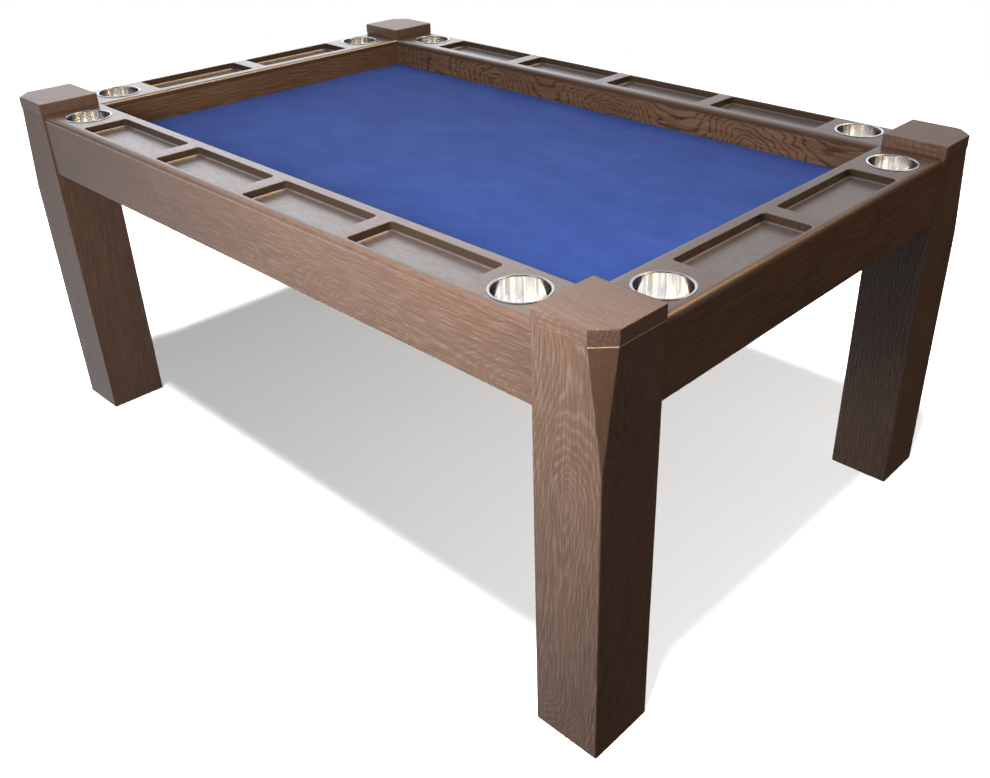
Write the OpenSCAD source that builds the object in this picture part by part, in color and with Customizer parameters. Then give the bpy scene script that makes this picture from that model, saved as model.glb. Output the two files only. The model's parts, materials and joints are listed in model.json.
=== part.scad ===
// Poker table with a sunken cloth playing surface, a raised rail with trays and
// drop-in cups all round, and four square legs under chamfered corner caps.
// Millimetres. Origin on the floor at the centre of the table, +Z up,
// +X along the length, -Y towards the front. Depths into a rail or a corner are
// counted inwards from the outer face of the corner caps.

/* [Table] */
// Length over the corner caps
table_l = 1750; // [1550:10:2400]
// Width over the corner caps
table_w = 1150; // [1050:10:1400]
// Height from the floor to the top of the corner caps
table_h = 787; // [720:1:900]
// Side of the square corner caps, which is also the width of a leg corner
cap_side = 133; // [124:1:136]
// Thickness of the corner caps, the same as that of a dining top laid on the rails
cap_t = 25; // [18:1:35]
// Cut along each face at the outer corner of a cap
cap_chamfer = 30.5; // [15:0.5:35]
// How far the caps stand out past the legs
cap_overhang = 1; // [0.5:0.5:3]
// Height below the caps over which the corner cut of a leg runs out
taper_h = 202; // [100:1:300]
// Thickness of the felt pads under the legs
pad_t = 2; // [1:0.5:5]

/* [Rails] */
// Width of the rails, from the cap's outer face to the well
rail_w = 140; // [138:1:150]
// How far the rails stand back from the cap's outer face
rail_inset = 4; // [2:0.5:4]
// Thickness of the rail boards
board_t = 25; // [22:1:32]
// Thickness of the lip of a rail board that covers the apron and the well wall
lip_t = 13; // [12.5:0.5:16]
// Radius of the outer top edge of the rails
outer_edge_r = 12; // [4:1:12]
// Radius of the top edge of the rails over the well
inner_edge_r = 8; // [3:1:10]
// Height of the outside of a rail, board and apron together
rail_h = 134; // [130:1:160]
// Thickness of the aprons and well walls
panel_t = 18; // [16:1:18]

/* [Trays] */
// Depth of the chip trays
tray_depth = 16; // [8:1:18]
// Width of the chip trays
tray_w = 95; // [60:1:96]
// Distance of the trays from the cap's outer face
tray_edge = 19; // [18:1:24]
// Radius of the corners of the trays
tray_corner_r = 8; // [4:1:16]
// Number of trays on a long rail
long_trays = 4; // [2:1:5]
// Number of trays on a short rail
short_trays = 2; // [1:1:3]
// Wood left between two trays of a long rail
long_tray_gap = 36; // [25:1:60]
// Wood left between two trays of a short rail
short_tray_gap = 38; // [25:1:60]
// Distance from a leg to the first tray on a long rail
long_tray_start = 159; // [155:1:180]
// Distance from a leg to the first tray on a short rail
short_tray_start = 163; // [155:1:180]

/* [Cups] */
// Distance from a leg to the centre of a cup
cup_from_leg = 81; // [80:1:84]
// Distance from the cap's outer face to the centre of a cup
cup_from_edge = 68; // [68:1:74]
// Outer radius of a cup's body
cup_r = 45.5; // [38:0.5:45.5]
// Radius over a cup's rim
cup_rim_r = 49.3; // [47:0.1:50]
// Depth of a cup below the rail
cup_depth = 72; // [50:1:90]
// Thickness of the cup's sheet metal
cup_wall = 0.8; // [0.6:0.1:1.5]

/* [Playing surface] */
// Depth of the cloth below the top of the rails
well_depth = 65; // [40:1:68]
// Thickness of the playing board
field_board_t = 12; // [9:1:15]
// Thickness of the foam under the cloth
foam_t = 5; // [3:1:8]
// Thickness of the speed cloth
cloth_t = 1; // [0.8:0.1:1.5]
// Clearance between the covered board and the well walls
field_gap = 1; // [0.5:0.5:3]
// Width of the cloth turned in under the board
hem_w = 40; // [25:1:60]
// Width of the cleats that carry the playing surface
cleat_w = 20; // [18:1:30]
// Height of the cleats
cleat_h = 40; // [36:1:42]
// Number of slats under the playing surface
slat_count = 5; // [3:1:7]
// Width of a slat
slat_w = 60; // [40:1:80]
// Thickness of a slat
slat_t = 18; // [12:1:18]

/* [Hidden] */
$fn = 96;
eps = 0.01;
through = 1;

rail_z = table_h - cap_t;            // top of the rails and of the legs
lip_z = rail_z - lip_t;              // top of the aprons and well walls
shoulder_z = rail_z - board_t;       // underside of the rail boards
apron_z = rail_z - rail_h;           // lower edge of the aprons
inner_rise = 6;
inner_z = apron_z + inner_rise;      // lower end of the pieces inside a rail
tongue_t = 10;                       // part of an apron's thickness that reaches up under the lip
tongue_gap = 0.2;
taper_z = rail_z - taper_h;          // where the corner cut of a leg begins

leg_side = cap_side - cap_overhang;
leg_chamfer = cap_chamfer + (sqrt(2) - 2) * cap_overhang;
taper_tool = 60;                     // size of the block that makes the corner cut

well_l = table_l - 2 * rail_w;
well_w = table_w - 2 * rail_w;
field_z = rail_z - well_depth;       // top of the cloth
field_l = well_l - 2 * field_gap;
field_w = well_w - 2 * field_gap;
foam_z = field_z - cloth_t - foam_t;
field_board_z = foam_z - field_board_t;
cleat_top_z = field_board_z - cloth_t;

pad_side = 108;
pad_corner_r = 10;

block_t = 30;                        // end blocks that the legs are bolted to
rib_t = 18;
bolt_r = 4;
bolt_head_r = 7;
bolt_head_t = 5;
bolt_washer_r = 9;
bolt_washer_t = 2;
bolt_room = 0.5;                     // clearance round a bolt
bolt_tip_room = 5;
bolt_depth = 40;                     // reach of a bolt into the leg
bolt_rows = [38, 104];               // depths of the two bolts of a joint
long_bolt_z = rail_z - 65;
short_bolt_z = rail_z - 100;         // lower, so the bolts pass each other in the leg
insert_r = 6;
insert_l = 25;
insert_sunk = 3;
fit_gap = 0.1;

dowel_r = 5;
dowel_up = 12;
dowel_down = 18;
dowel_places = [[45, 90], [90, 45]];

screw_r = 2;
screw_head_r = 4;
screw_head_t = 2.5;
screw_room = 0.3;                    // clearance round a screw in the cleat
screw_tip_room = 1;
screw_grip = 12;                     // reach of a cleat screw into the well wall
screw_pitch = 230;                   // most between two cleat screws
screw_end = 70;                      // from the end of a side to its first screw
screw_drop = 29;
screw_z = cleat_top_z - screw_drop;

cup_hole_r = cup_r + 0.6;
cup_rim_t = 1.2;
cup_floor_r = 7;

dark_oak = [0.31, 0.235, 0.2];
cap_oak = [0.42, 0.33, 0.29];
rail_lacquer = [0.39, 0.33, 0.3];
plywood = [0.72, 0.6, 0.43];
poplar = [0.78, 0.7, 0.53];
steel = [0.78, 0.78, 0.77];
zinc = [0.62, 0.63, 0.65];
brass = [0.72, 0.57, 0.28];
blue_cloth = [0.16, 0.26, 0.62];
foam_grey = [0.3, 0.31, 0.33];
felt = [0.12, 0.11, 0.11];

// Each corner: its name and which way it lies along X and Y.
CORNERS = [["front_left", -1, -1], ["front_right", 1, -1],
           ["back_left", -1, 1], ["back_right", 1, 1]];
// Each side: its name, how far it is turned from the front, whether it is a long one.
SIDES = [["front", 0, true], ["back", 180, true], ["right", 90, false], ["left", -90, false]];
// Each cup: its name, its side, and the end of that side it is at.
CUPS = [["cup_front_left", SIDES[0], -1], ["cup_front_right", SIDES[0], 1],
        ["cup_right_front", SIDES[2], -1], ["cup_right_back", SIDES[2], 1],
        ["cup_back_right", SIDES[1], -1], ["cup_back_left", SIDES[1], 1],
        ["cup_left_back", SIDES[3], -1], ["cup_left_front", SIDES[3], 1]];

SIDE_PIECES = ["apron", "well_wall", "rail_board", "rail_ribs", "end_blocks", "cleat"];

// ---- helpers ----

function is_long(side) = side[2];
function side_total(side) = is_long(side) ? table_l : table_w;
function span(side) = side_total(side) - 2 * cap_side;
function well_side(side) = side_total(side) - 2 * rail_w;
function half_depth(side) = is_long(side) ? table_w / 2 : table_l / 2;
function tray_count(side) = is_long(side) ? long_trays : short_trays;
function tray_gap(side) = is_long(side) ? long_tray_gap : short_tray_gap;
function tray_start(side) = is_long(side) ? long_tray_start : short_tray_start;
function tray_zone(side) = span(side) - 2 * tray_start(side);
function tray_pitch(side) = (tray_zone(side) + tray_gap(side)) / tray_count(side);
function tray_l(side) = tray_pitch(side) - tray_gap(side);
function bolt_z(side) = is_long(side) ? long_bolt_z : short_bolt_z;
function cup_x(side, end) = end * (span(side) / 2 - cup_from_leg);

// Middle of each rib along a side: one under each gap between trays, one past each end.
function rib_places(side) = [for (i = [0:tray_count(side)]) (i - tray_count(side) / 2) * tray_pitch(side)];

// Cleat screws along a side, evenly spread and clear of its ends.
function screw_places(side) =
    let (l = well_side(side) - 2 * screw_end, n = ceil(l / screw_pitch))
    [for (i = [0:n]) -l / 2 + i * l / n];

function slat_x(i) = (i - (slat_count + 1) / 2) * well_l / (slat_count + 1);

// The children's origin is a corner on the floor, with +X and +Y pointing inwards.
module at_corner(corner) {
    translate([corner[1] * table_l / 2, corner[2] * table_w / 2, 0])
        mirror([corner[1] > 0 ? 1 : 0, 0, 0])
            mirror([0, corner[2] > 0 ? 1 : 0, 0])
                children();
}

// The children's origin is the middle of a side on the floor, with +Y pointing inwards.
module at_side(side) {
    rotate([0, 0, side[1]])
        translate([0, -half_depth(side), 0])
            children();
}

// A block with round vertical corners, centred in X and Y.
module rounded_block(l, w, h, r) {
    translate([-l / 2, r - w / 2, 0]) cube([l, w - 2 * r, h]);
    translate([r - l / 2, -w / 2, 0]) cube([l - 2 * r, w, h]);
    for (x = [r - l / 2, l / 2 - r], y = [r - w / 2, w / 2 - r])
        translate([x, y, 0]) cylinder(h = h, r = r);
}

// What a round edge takes off a square corner at the origin.
module edge_waste(r) {
    difference() {
        translate([-through, -through]) square([r + through, r + through]);
        translate([r, r]) circle(r);
    }
}

// Outline of a rail piece from one depth to another, butting the legs, with mitres
// where the rails meet past the corner of the leg.
module rail_outline(side, from, to) {
    half = span(side) / 2;
    past = to - cap_side;
    polygon([[-half, from], [half, from], [half, cap_side], [half - past, to],
             [past - half, to], [-half, cap_side]]);
}

// The two bolt positions at the leg end of a rail; +X points out of the leg's face.
module at_bolts(z) {
    for (y = bolt_rows) translate([cap_side, y, z]) rotate([0, 90, 0]) children();
}

// Every bolt position at a corner, of the long rail and of the short one.
module at_corner_bolts() {
    at_bolts(long_bolt_z) children();
    mirror([1, -1, 0]) at_bolts(short_bolt_z) children();
}

// Every cleat screw of a side; +Z points into the well wall.
module at_screws(side) {
    for (x = screw_places(side))
        translate([x, rail_w + cleat_w, screw_z]) rotate([90, 0, 0]) children();
}

module at_dowels() {
    for (p = dowel_places) translate([p[0], p[1], rail_z]) children();
}

// ---- legs and corners ----

// Slanted cut that runs out down the outer corner of a leg.
module corner_taper() {
    lean = atan(leg_chamfer / sqrt(2) / taper_h);
    translate([cap_overhang, cap_overhang, taper_z])
        rotate([0, 0, 45]) rotate([0, lean, 0])
            translate([-taper_tool, -taper_tool, 0])
                cube([taper_tool, 2 * taper_tool, taper_h + taper_tool]);
}

module leg(corner) {
    color(dark_oak) at_corner(corner) difference() {
        translate([cap_overhang, cap_overhang, pad_t]) cube([leg_side, leg_side, rail_z - pad_t]);
        corner_taper();
        at_corner_bolts() {
            translate([0, 0, -insert_sunk - insert_l])
                cylinder(h = insert_sunk + insert_l + through, r = insert_r + fit_gap);
            translate([0, 0, -bolt_depth - bolt_tip_room])
                cylinder(h = bolt_depth, r = bolt_r + bolt_room);
        }
        at_dowels() translate([0, 0, -dowel_down]) cylinder(h = dowel_down + through, r = dowel_r + fit_gap);
    }
}

module corner_cap(corner) {
    color(cap_oak) at_corner(corner) difference() {
        translate([0, 0, rail_z]) linear_extrude(cap_t)
            polygon([[cap_chamfer, 0], [cap_side, 0], [cap_side, cap_side], [0, cap_side], [0, cap_chamfer]]);
        at_dowels() translate([0, 0, -through]) cylinder(h = dowel_up + through, r = dowel_r + fit_gap);
    }
}

module foot_pad(corner) {
    middle = cap_overhang + leg_side / 2;
    color(felt) at_corner(corner) translate([middle, middle, 0])
        rounded_block(pad_side, pad_side, pad_t, pad_corner_r);
}

// ---- rails ----

module apron(side) {
    color(dark_oak) at_side(side) difference() {
        translate([-span(side) / 2, rail_inset, apron_z])
            cube([span(side), panel_t, lip_z - apron_z]);
        translate([-span(side) / 2 - through, rail_inset + tongue_t, shoulder_z])
            cube([span(side) + 2 * through, panel_t, board_t]);
    }
}

module well_wall(side) {
    color(dark_oak) at_side(side) difference() {
        translate([0, 0, apron_z]) linear_extrude(lip_z - apron_z)
            rail_outline(side, rail_w - panel_t, rail_w);
        translate([-side_total(side) / 2, rail_w - tongue_t - panel_t, shoulder_z])
            cube([side_total(side), panel_t, board_t]);
        at_screws(side) cylinder(h = cleat_w + screw_grip + screw_tip_room, r = screw_r + fit_gap);
    }
}

// Section across a rail board: depth along X, height along Y.
module rail_section() {
    full_w = rail_w - rail_inset;
    body_start = rail_inset + tongue_t + tongue_gap;
    difference() {
        union() {
            translate([rail_inset, lip_z]) square([full_w, lip_t]);
            translate([body_start, shoulder_z])
                square([rail_w - tongue_t - tongue_gap - body_start, board_t - eps]);
        }
        translate([rail_inset, rail_z]) mirror([0, 1]) edge_waste(outer_edge_r);
        translate([rail_w, rail_z]) rotate([0, 0, 180]) edge_waste(inner_edge_r);
    }
}

module rail_board(side) {
    color(rail_lacquer) at_side(side) difference() {
        intersection() {
            translate([-side_total(side) / 2, 0, 0]) rotate([90, 0, 90])
                linear_extrude(side_total(side)) rail_section();
            linear_extrude(table_h) rail_outline(side, 0, rail_w);
        }
        for (i = [1:tray_count(side)])
            translate([(i - (tray_count(side) + 1) / 2) * tray_pitch(side),
                       tray_edge + tray_w / 2, rail_z - tray_depth])
                rounded_block(tray_l(side), tray_w, tray_depth + through, tray_corner_r);
        for (end = [-1, 1])
            translate([cup_x(side, end), cup_from_edge, shoulder_z - through])
                cylinder(h = board_t + 2 * through, r = cup_hole_r);
    }
}

// Plywood ribs across the inside of a rail, under the board between the trays.
module rail_ribs(side) {
    depth = rail_w - rail_inset - 2 * panel_t;
    color(plywood) at_side(side)
        for (x = rib_places(side))
            translate([x - rib_t / 2, rail_inset + panel_t, inner_z])
                cube([rib_t, depth, shoulder_z - inner_z]);
}

// Solid blocks in the ends of a rail, bolted to the legs.
module end_blocks(side) {
    depth = rail_w - rail_inset - 2 * panel_t;
    color(poplar) at_side(side)
        for (end = [0, 1]) mirror([end, 0, 0]) difference() {
            translate([-span(side) / 2, rail_inset + panel_t, inner_z])
                cube([block_t, depth, shoulder_z - inner_z]);
            for (y = bolt_rows)
                translate([-span(side) / 2 - through, y, bolt_z(side)]) rotate([0, 90, 0])
                    cylinder(h = block_t + 2 * through, r = bolt_r + bolt_room);
        }
}

// ---- playing surface and what carries it ----

// Batten screwed to the well wall; the long ones are notched for the slats.
module cleat(side) {
    l = well_side(side) - (is_long(side) ? 0 : 2 * cleat_w);
    color(poplar) at_side(side) difference() {
        translate([-l / 2, rail_w, cleat_top_z - cleat_h]) cube([l, cleat_w, cleat_h]);
        if (is_long(side)) for (i = [1:slat_count])
            translate([slat_x(i) - slat_w / 2, rail_w - through, cleat_top_z - slat_t])
                cube([slat_w, cleat_w + 2 * through, slat_t + through]);
        at_screws(side) translate([0, 0, -through])
            cylinder(h = cleat_w + 2 * through, r = screw_r + screw_room);
    }
}

module slat(i) {
    color(poplar) translate([slat_x(i) - slat_w / 2, -well_w / 2, cleat_top_z - slat_t])
        cube([slat_w, well_w, slat_t]);
}

// A flat layer of the playing surface, inset from the edge of the covered board.
module field_layer(inset, z, t) {
    translate([inset - field_l / 2, inset - field_w / 2, z])
        cube([field_l - 2 * inset, field_w - 2 * inset, t]);
}

module playing_board() {
    color(plywood) field_layer(cloth_t, field_board_z, field_board_t);
}

module foam_pad() {
    color(foam_grey) field_layer(cloth_t, foam_z, foam_t);
}

// Cloth over the foam, down the edges and turned in under the board.
module speed_cloth() {
    color(blue_cloth) difference() {
        field_layer(0, cleat_top_z, field_z - cleat_top_z);
        field_layer(cloth_t, field_board_z, foam_t + field_board_t);
        field_layer(hem_w, cleat_top_z - through, cloth_t + 2 * through);
    }
}

// ---- cups ----

// Half section of a round-bottomed cup body, its floor at the origin.
module cup_section(r, h, floor_r) {
    translate([0, floor_r]) square([r, h - floor_r]);
    square([r - floor_r, floor_r]);
    translate([r - floor_r, floor_r]) intersection() {
        circle(floor_r);
        translate([0, -floor_r]) square([floor_r, floor_r + eps]);
    }
}

module cup(place) {
    side = place[1];
    color(steel) at_side(side) translate([cup_x(side, place[2]), cup_from_edge, rail_z - cup_depth])
        rotate_extrude() difference() {
            union() {
                cup_section(cup_r, cup_depth + cup_rim_t, cup_floor_r);
                translate([0, cup_depth]) square([cup_rim_r, cup_rim_t]);
            }
            translate([0, cup_wall])
                cup_section(cup_r - cup_wall, cup_depth + cup_rim_t, cup_floor_r - cup_wall);
        }
}

// ---- fasteners ----

module leg_bolts() {
    color(zinc) for (c = CORNERS) at_corner(c) at_corner_bolts() {
        translate([0, 0, -bolt_depth]) cylinder(h = bolt_depth + block_t + eps, r = bolt_r);
        translate([0, 0, block_t]) cylinder(h = bolt_washer_t, r = bolt_washer_r);
        translate([0, 0, block_t + bolt_washer_t - eps])
            cylinder(h = bolt_head_t, r = bolt_head_r, $fn = 6);
    }
}

module leg_inserts() {
    color(brass) for (c = CORNERS) at_corner(c) at_corner_bolts()
        translate([0, 0, -insert_sunk - insert_l]) difference() {
            cylinder(h = insert_l, r = insert_r);
            translate([0, 0, -through]) cylinder(h = insert_l + 2 * through, r = bolt_r + fit_gap);
        }
}

module cap_dowels() {
    color(plywood) for (c = CORNERS) at_corner(c) at_dowels()
        translate([0, 0, -dowel_down]) cylinder(h = dowel_down + dowel_up - fit_gap, r = dowel_r);
}

module cleat_screws() {
    color(zinc) for (s = SIDES) at_side(s) at_screws(s) {
        translate([0, 0, -screw_head_t]) cylinder(h = screw_head_t, r = screw_head_r);
        translate([0, 0, -eps]) cylinder(h = cleat_w + screw_grip, r = screw_r);
    }
}

// ---- the table ----

for (c = CORNERS) {
    leg(c);
    corner_cap(c);
    foot_pad(c);
}
for (s = SIDES) {
    apron(s);
    well_wall(s);
    rail_board(s);
    rail_ribs(s);
    end_blocks(s);
    cleat(s);
}
for (i = [1:slat_count])
    slat(i);
playing_board();
foam_pad();
speed_cloth();
for (k = CUPS)
    cup(k);
leg_bolts();
leg_inserts();
cap_dowels();
cleat_screws();
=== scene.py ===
"""Looks of the poker table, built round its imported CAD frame.

Everything is in metres in the frame's own axes: origin on the floor at the centre, +X along the
length, -Y towards the front. Depths into a rail or a corner count inwards from the outer face of
the corner caps.
"""
import json
import math
import random

import bmesh
import bpy
from mathutils import Matrix, Vector


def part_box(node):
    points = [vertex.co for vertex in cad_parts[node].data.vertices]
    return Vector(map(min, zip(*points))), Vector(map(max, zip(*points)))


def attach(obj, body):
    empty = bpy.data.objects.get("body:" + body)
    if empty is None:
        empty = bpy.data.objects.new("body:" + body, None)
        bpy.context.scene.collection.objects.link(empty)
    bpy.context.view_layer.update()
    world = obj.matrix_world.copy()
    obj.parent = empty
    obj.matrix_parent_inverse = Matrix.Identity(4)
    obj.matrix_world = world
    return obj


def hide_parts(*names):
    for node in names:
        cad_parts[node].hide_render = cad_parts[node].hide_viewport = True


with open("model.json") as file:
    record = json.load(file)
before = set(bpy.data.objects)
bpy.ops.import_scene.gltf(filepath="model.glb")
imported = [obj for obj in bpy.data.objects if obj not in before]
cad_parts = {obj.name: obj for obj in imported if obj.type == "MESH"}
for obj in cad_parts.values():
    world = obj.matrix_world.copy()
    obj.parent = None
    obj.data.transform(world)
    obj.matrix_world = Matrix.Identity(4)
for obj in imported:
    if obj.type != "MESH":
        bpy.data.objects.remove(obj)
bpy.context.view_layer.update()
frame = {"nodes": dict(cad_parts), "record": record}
scene = bpy.context.scene

# ---- sizes read from the frame ----

cap_low, cap_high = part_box("corner_cap_front_right")
leg_low, leg_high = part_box("leg_front_right")
rail_low, rail_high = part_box("rail_board_front")
apron_low, apron_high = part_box("apron_front")
cloth_low, cloth_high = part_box("speed_cloth")
foam_low, foam_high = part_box("foam_pad")

HALF_L = cap_high.x
HALF_W = -cap_low.y
CAP_SIDE = cap_high.x - cap_low.x
RAIL_Z = cap_low.z                       # top of the rails, where the caps stand
CAP_Z = cap_high.z
LEG_INSET = HALF_L - leg_high.x          # how far the legs stand back from the caps
LEG_FOOT = leg_low.z
RAIL_OUT = HALF_W + rail_low.y           # outer face of a rail
RAIL_IN = HALF_W + rail_high.y           # face of a rail over the well
LIP_Z = apron_high.z                     # underside of the lip over apron and well wall
SHOULDER_Z = rail_low.z                  # underside of the rail boards
APRON_Z = apron_low.z
APRON_T = apron_high.y - apron_low.y
CLOTH_T = foam_low.x - cloth_low.x

# ---- sizes of the shaping that the plain frame leaves out ----

RAIL_OUTER_R = 0.012
RAIL_INNER_R = 0.008
RAIL_TONGUE = 0.0102                     # how far the body of a rail board keeps off its lip's edges
PANEL_TONGUE = 0.010                     # part of a panel's thickness that reaches up under the lip
PANEL_EASE = 0.001
LEG_EDGE_R = 0.003
LEG_CHAMFER = 0.0299                     # cut along each face at the top of a leg
LEG_TAPER = 0.202                        # height over which it runs out
LEG_FOOT_EASE = 0.0014
LEG_TOP_EASE = 0.0005
CAP_CHAMFER = 0.0305
CAP_EDGE_R = 0.0022
CAP_FOOT_R = 0.0004
TRAY_EDGE_R = 0.0016
TRAY_COVE_R = 0.0045
TRAY_CORNER_R = 0.008
TRAY_CLEARANCE = 0.0025                  # the record's tray boxes keep this far off the tray walls
TRAY_FLOOR_CLEARANCE = 0.0005
CUP_WALL = 0.0008
CUP_BODY_R = 0.0455
CUP_HOLE_R = 0.0461
CUP_FLOOR_R = 0.007
CUP_LIP_R = 0.0016                       # where the wall turns out into the rim
CUP_ROLL_R = 0.0006                      # rolled edge of the rim
CUP_NECK = 0.0008                        # bevel under the rim
CUP_TURN = 356.25                        # degrees from the first to the last of 96 points round a cup
PAD_CORNER_R = 0.010
FOAM_EDGE_R = 0.0018
HEM = 0.040
CLOTH_EDGE_R = 0.0028
CLOTH_MIN_R = 0.0004                     # tightest corner of the cloth seen from above
CLOTH_CREASE = 0.0002
FOAM_MIN_R = 0.0002
MERGE_GAP = 1e-6
WELD_GAP = 1e-5
SMOOTH_BELOW = math.radians(42)          # edges that bend more stay crisp
EASE_ABOVE = math.radians(50)            # edges that bend more are eased
HARDWARE_EASE, TIMBER_EASE = 0.0004, 0.0008

# Each side: its name, turn from the front in degrees, distance from the centre and half its length.
SIDES = [("front", 0, HALF_W, HALF_L), ("right", 90, HALF_L, HALF_W),
         ("back", 180, HALF_W, HALF_L), ("left", 270, HALF_L, HALF_W)]
CORNERS = [("front_left", 0), ("front_right", 90), ("back_right", 180), ("back_left", 270)]
CUPS = []                                # the cups, once made


def turned(degrees):
    return Matrix.Rotation(math.radians(degrees), 4, "Z")


def side_matrix(side):
    """Side frame to table frame: X along the side, Y inwards from the caps' outer face."""
    return turned(side[1]) @ Matrix.Translation((0, -side[2], 0))


def corner_matrix(corner):
    """Corner frame to table frame: X and Y inwards along the two faces of the corner."""
    across = corner[1] % 180 == 90
    reach = (HALF_W, HALF_L) if across else (HALF_L, HALF_W)
    return turned(corner[1]) @ Matrix.Translation((-reach[0], -reach[1], 0))


# ---- mesh building ----

def arc(centre, radius, start, end, steps=6):
    """Points on an arc in a plane, from one angle to another in degrees."""
    angles = [math.radians(start + (end - start) * i / steps) for i in range(steps + 1)]
    return [(centre[0] + radius * math.cos(a), centre[1] + radius * math.sin(a)) for a in angles]


def block_corners(x0, x1, y0, y1, r):
    """Corner arcs of a rectangle: each is a centre with its first and last angle."""
    return [(x1 - r, y1 - r, 0, 90), (x0 + r, y1 - r, 90, 180),
            (x0 + r, y0 + r, 180, 270), (x1 - r, y0 + r, 270, 360)]


def chamfered_corners(low, high, chamfer, r):
    """Corner arcs of a square in the corner frame, with its outer corner cut off."""
    cut = max(0, chamfer - (2 - math.sqrt(2)) * r)
    a, b = low + r, high - r
    return [(b, b, 0, 90), (a, b, 90, 180), (a, a + cut, 180, 225), (a + cut, a, 225, 270),
            (b, a, 270, 360)]


def ring(corners, r, z, steps=5):
    """Level loop of points round those corner arcs."""
    points = []
    for x, y, start, end in corners:
        points += arc((x, y), r, start, end, max(1, round(steps * (end - start) / 90)))
    return [(x, y, z) for x, y in points]


def new_loop(bm, points):
    return [bm.verts.new(p) for p in points]


def join_loops(bm, first, second):
    for i, v in enumerate(first):
        j = (i + 1) % len(first)
        bm.faces.new((v, first[j], second[j], second[i]))


def loft(bm, rings, start=None):
    """Skin over loops with the same number of points, with a lid at each end. start is an existing first
    loop, which gets no lid."""
    loops = [start] if start else []
    loops += [new_loop(bm, points) for points in rings]
    if not start:
        bm.faces.new(loops[0])
    for first, second in zip(loops, loops[1:]):
        join_loops(bm, first, second)
    bm.faces.new(loops[-1])
    return loops


def make_object(name, bm, matrix=Matrix()):
    """Object with smooth rounds and crisp corners from a finished bmesh."""
    bmesh.ops.remove_doubles(bm, verts=bm.verts, dist=MERGE_GAP)
    bmesh.ops.recalc_face_normals(bm, faces=bm.faces)
    mesh = bpy.data.meshes.new(name)
    bm.to_mesh(mesh)
    bm.free()
    mesh.shade_smooth()
    mesh.set_sharp_from_angle(angle=SMOOTH_BELOW)
    piece = bpy.data.objects.new(name, mesh)
    scene.collection.objects.link(piece)
    piece.matrix_world = matrix
    weighted = piece.modifiers.new("even_faces", "WEIGHTED_NORMAL")
    weighted.keep_sharp = True
    return piece


def finish_piece(piece, material, slot, body, *nodes):
    """Gives a piece its finish and puts it in place of its CAD nodes."""
    piece.data.materials.append(material)
    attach(piece, body)
    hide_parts(*nodes)
    return piece


# ---- materials ----

# Colours are linear. The stain's tones: its darker and lighter clouds between the pores, and the strokes.
PALE_STROKES = dict(dark=(0.096, 0.050, 0.029), light=(0.122, 0.064, 0.038), stroke=(0.215, 0.150, 0.118))
QUIET_STROKES = dict(dark=(0.090, 0.043, 0.020), light=(0.118, 0.057, 0.027), stroke=(0.150, 0.088, 0.060))
DARK_STROKES = dict(dark=(0.165, 0.094, 0.062), light=(0.215, 0.126, 0.085), stroke=(0.060, 0.032, 0.020))
WALL_STROKES = dict(dark=(0.135, 0.068, 0.037), light=(0.175, 0.089, 0.049), stroke=(0.205, 0.125, 0.085))
CAP_TONES = dict(dark=(0.110, 0.063, 0.042), light=(0.140, 0.080, 0.054), stroke=(0.210, 0.135, 0.098))
# Pale golden wood, painted as a highlight along the top edge of a leg.
ARRIS_GLINT = (0.85, 0.60, 0.38)
RAIL_DARK, RAIL_LIGHT, RAIL_PORE = (0.082, 0.046, 0.030), (0.106, 0.061, 0.041), (0.058, 0.033, 0.022)
# Painted light on the rails: a paler outer round, shaded tray walls and a grey sheen on the tray floors.
RAIL_NOSING_LIGHT, TRAY_WALL_SHADE, TRAY_FLOOR_SHEEN = (0.150, 0.088, 0.062), (0.028, 0.022, 0.016), (0.155, 0.140, 0.142)
CLOTH_DARK, CLOTH_LIGHT, CLOTH_FIBRE = (0.024, 0.074, 0.36), (0.035, 0.099, 0.43), (0.065, 0.135, 0.49)
CLOTH_SHEEN = (0.55, 0.62, 0.95)
STEEL, STEEL_RIM_SHADE = (0.93, 0.92, 0.91), (0.24, 0.24, 0.25)
ZINC, BRASS = (0.56, 0.58, 0.61), (0.62, 0.44, 0.16)
PLY_EDGE, PLY_FACE = ((0.30, 0.19, 0.10), (0.58, 0.43, 0.27)), ((0.46, 0.32, 0.18), (0.62, 0.47, 0.30))
BIRCH, POPLAR = ((0.50, 0.36, 0.20), (0.66, 0.51, 0.32)), ((0.46, 0.36, 0.20), (0.62, 0.50, 0.31))
FELT, FOAM = ((0.010, 0.009, 0.009), (0.030, 0.027, 0.026)), ((0.055, 0.057, 0.062), (0.10, 0.102, 0.108))

# The oak's noises, in cycles per metre along the grain and across it.
WANDER, RIPPLE, UNEVEN = (7, 20, 20), (70, 150, 150), (3, 40, 40)
WIDE_PORES, FINE_PORES, CLOUDS = (16, 360, 360), (80, 800, 800), (4, 16, 16)
RIPPLE_REACH = (0, 0.003, 0.003)         # how far the ripple shifts a ring
RING_BREAK = 1.9                         # pitches by which the unevenness shifts a ring
EYE_SPACING = 0.40                       # between the eyes of the figure, along the grain
UNDER_EYE = 0.3                          # how much the run counts below an eye of a bare board
PORE_SHOW = 0.52                         # how strongly pores show between the rings
GLINT_LOW, GLINT_HIGH = 0.0026, 0.0020   # below the top of a leg, where the painted highlight fades in

# Where the colour of the rails changes: depths from the rail's faces and heights from its top, in pairs
# between which one tone fades into the other. These changes are painted light: a paler outer round,
# painted shade on the tray walls and a painted grey sheen on the tray floors.
NOSING_LIGHT_SPAN = (0.003, 0.011)
BESIDE_TRAYS = (0.014, 0.016)
IN_TRAYS = (0.010, 0.006)
RAIL_GRAIN, RAIL_PORES, RAIL_CLOUDS = (9, 170, 170), (45, 420, 420), (3, 9, 9)

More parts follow.
